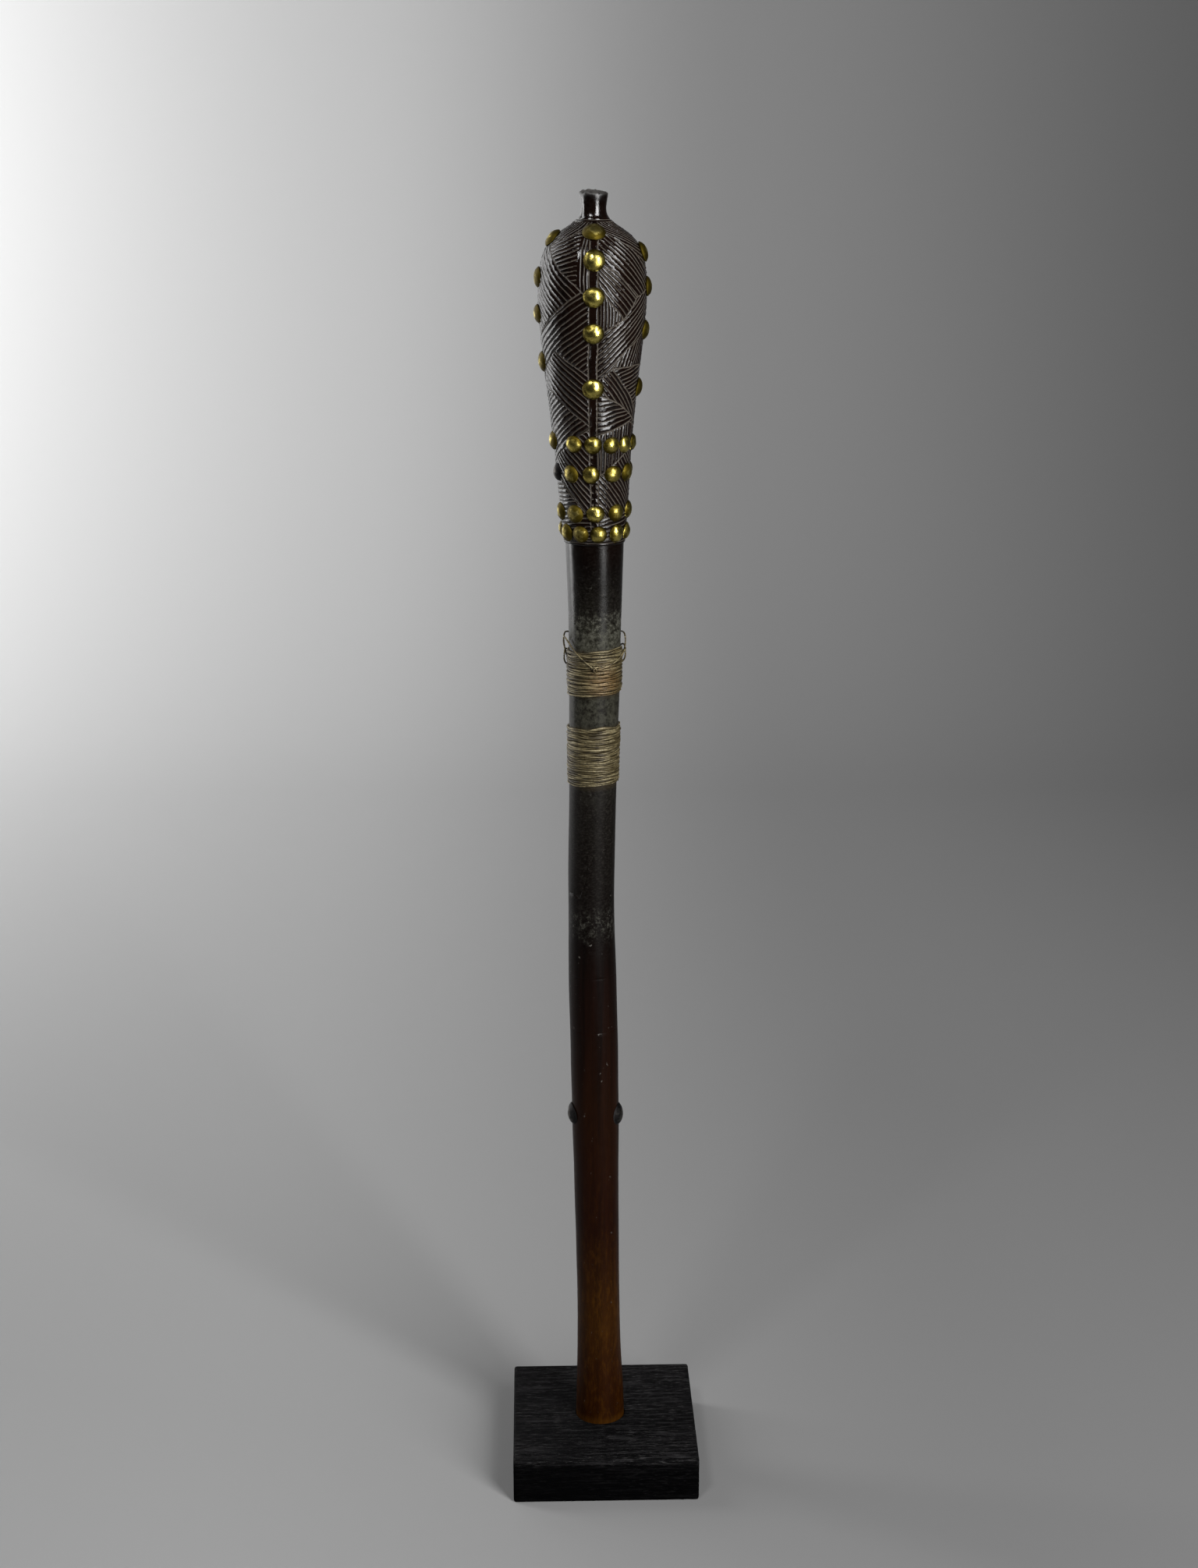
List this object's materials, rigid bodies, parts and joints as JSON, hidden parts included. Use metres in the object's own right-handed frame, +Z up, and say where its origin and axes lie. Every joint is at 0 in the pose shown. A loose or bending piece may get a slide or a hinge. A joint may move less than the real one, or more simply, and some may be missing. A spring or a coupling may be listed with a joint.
{
  "type": "sceptre",
  "caption": "Carved dark-wood sceptre with a swelling hatched head, a waisted nub, brass tacks and wire bindings, standing upright in a square wooden block.",
  "frame": {"origin": "middle of the block's flat underside", "axes": "+Z up along the staff, -Y towards the front, +X to the right seen from the front"},
  "size_m": [0.092, 0.092, 0.63],
  "materials": {
    "carved_wood": "dark polished hardwood with dust in the carving",
    "block_wood": "black-stained open-grained wood, satin",
    "brass": "dented yellow brass with brown tarnish",
    "dark_metal": "blackened, satin",
    "binding_wire": "oxidised wire, olive brown"
  },
  "bodies": {
    "root": {"carved_staff": "carved_wood", "base_block": "block_wood", "upper_binding": "binding_wire", "lower_binding": "binding_wire", "brass_tack_front_1": "brass", "brass_tack_front_2": "brass", "brass_tack_front_3": "brass", "brass_tack_front_4": "brass", "brass_tack_front_5": "brass", "brass_tack_right_1": "brass", "brass_tack_right_2": "brass", "brass_tack_right_3": "brass", "brass_tack_right_4": "brass", "brass_tack_back_1": "brass", "brass_tack_back_2": "brass", "brass_tack_back_3": "brass", "brass_tack_back_4": "brass", "brass_tack_left_1": "brass", "brass_tack_left_2": "brass", "brass_tack_left_3": "brass", "brass_tack_left_4": "brass", "brass_tack_ring_a_1": "brass", "brass_tack_ring_a_2": "brass", "brass_tack_ring_a_3": "brass", "brass_tack_ring_a_4": "brass", "brass_tack_ring_a_5": "brass", "brass_tack_ring_a_6": "brass", "brass_tack_ring_a_7": "brass", "brass_tack_ring_a_8": "brass", "brass_tack_ring_a_9": "brass", "brass_tack_ring_a_10": "brass", "brass_tack_ring_b_1": "brass", "brass_tack_ring_b_2": "brass", "brass_tack_ring_b_3": "brass", "brass_tack_ring_b_4": "brass", "brass_tack_ring_b_5": "brass", "brass_tack_ring_b_6": "brass", "brass_tack_ring_b_7": "brass", "brass_tack_ring_b_8": "brass", "brass_tack_ring_b_9": "brass", "brass_tack_ring_c_1": "brass", "brass_tack_ring_c_2": "brass", "brass_tack_ring_c_3": "brass", "brass_tack_ring_c_4": "brass", "brass_tack_ring_c_5": "brass", "brass_tack_ring_c_6": "brass", "brass_tack_ring_c_7": "brass", "brass_tack_ring_c_8": "brass", "brass_tack_ring_c_9": "brass", "brass_tack_ring_d_1": "brass", "brass_tack_ring_d_2": "brass", "brass_tack_ring_d_3": "brass", "brass_tack_ring_d_4": "brass", "brass_tack_ring_d_5": "brass", "brass_tack_ring_d_6": "brass", "brass_tack_ring_d_7": "brass", "brass_tack_ring_d_8": "brass", "brass_tack_ring_d_9": "brass", "dark_tack_left": "dark_metal", "dark_tack_right": "dark_metal"}
  },
  "joints": []
}
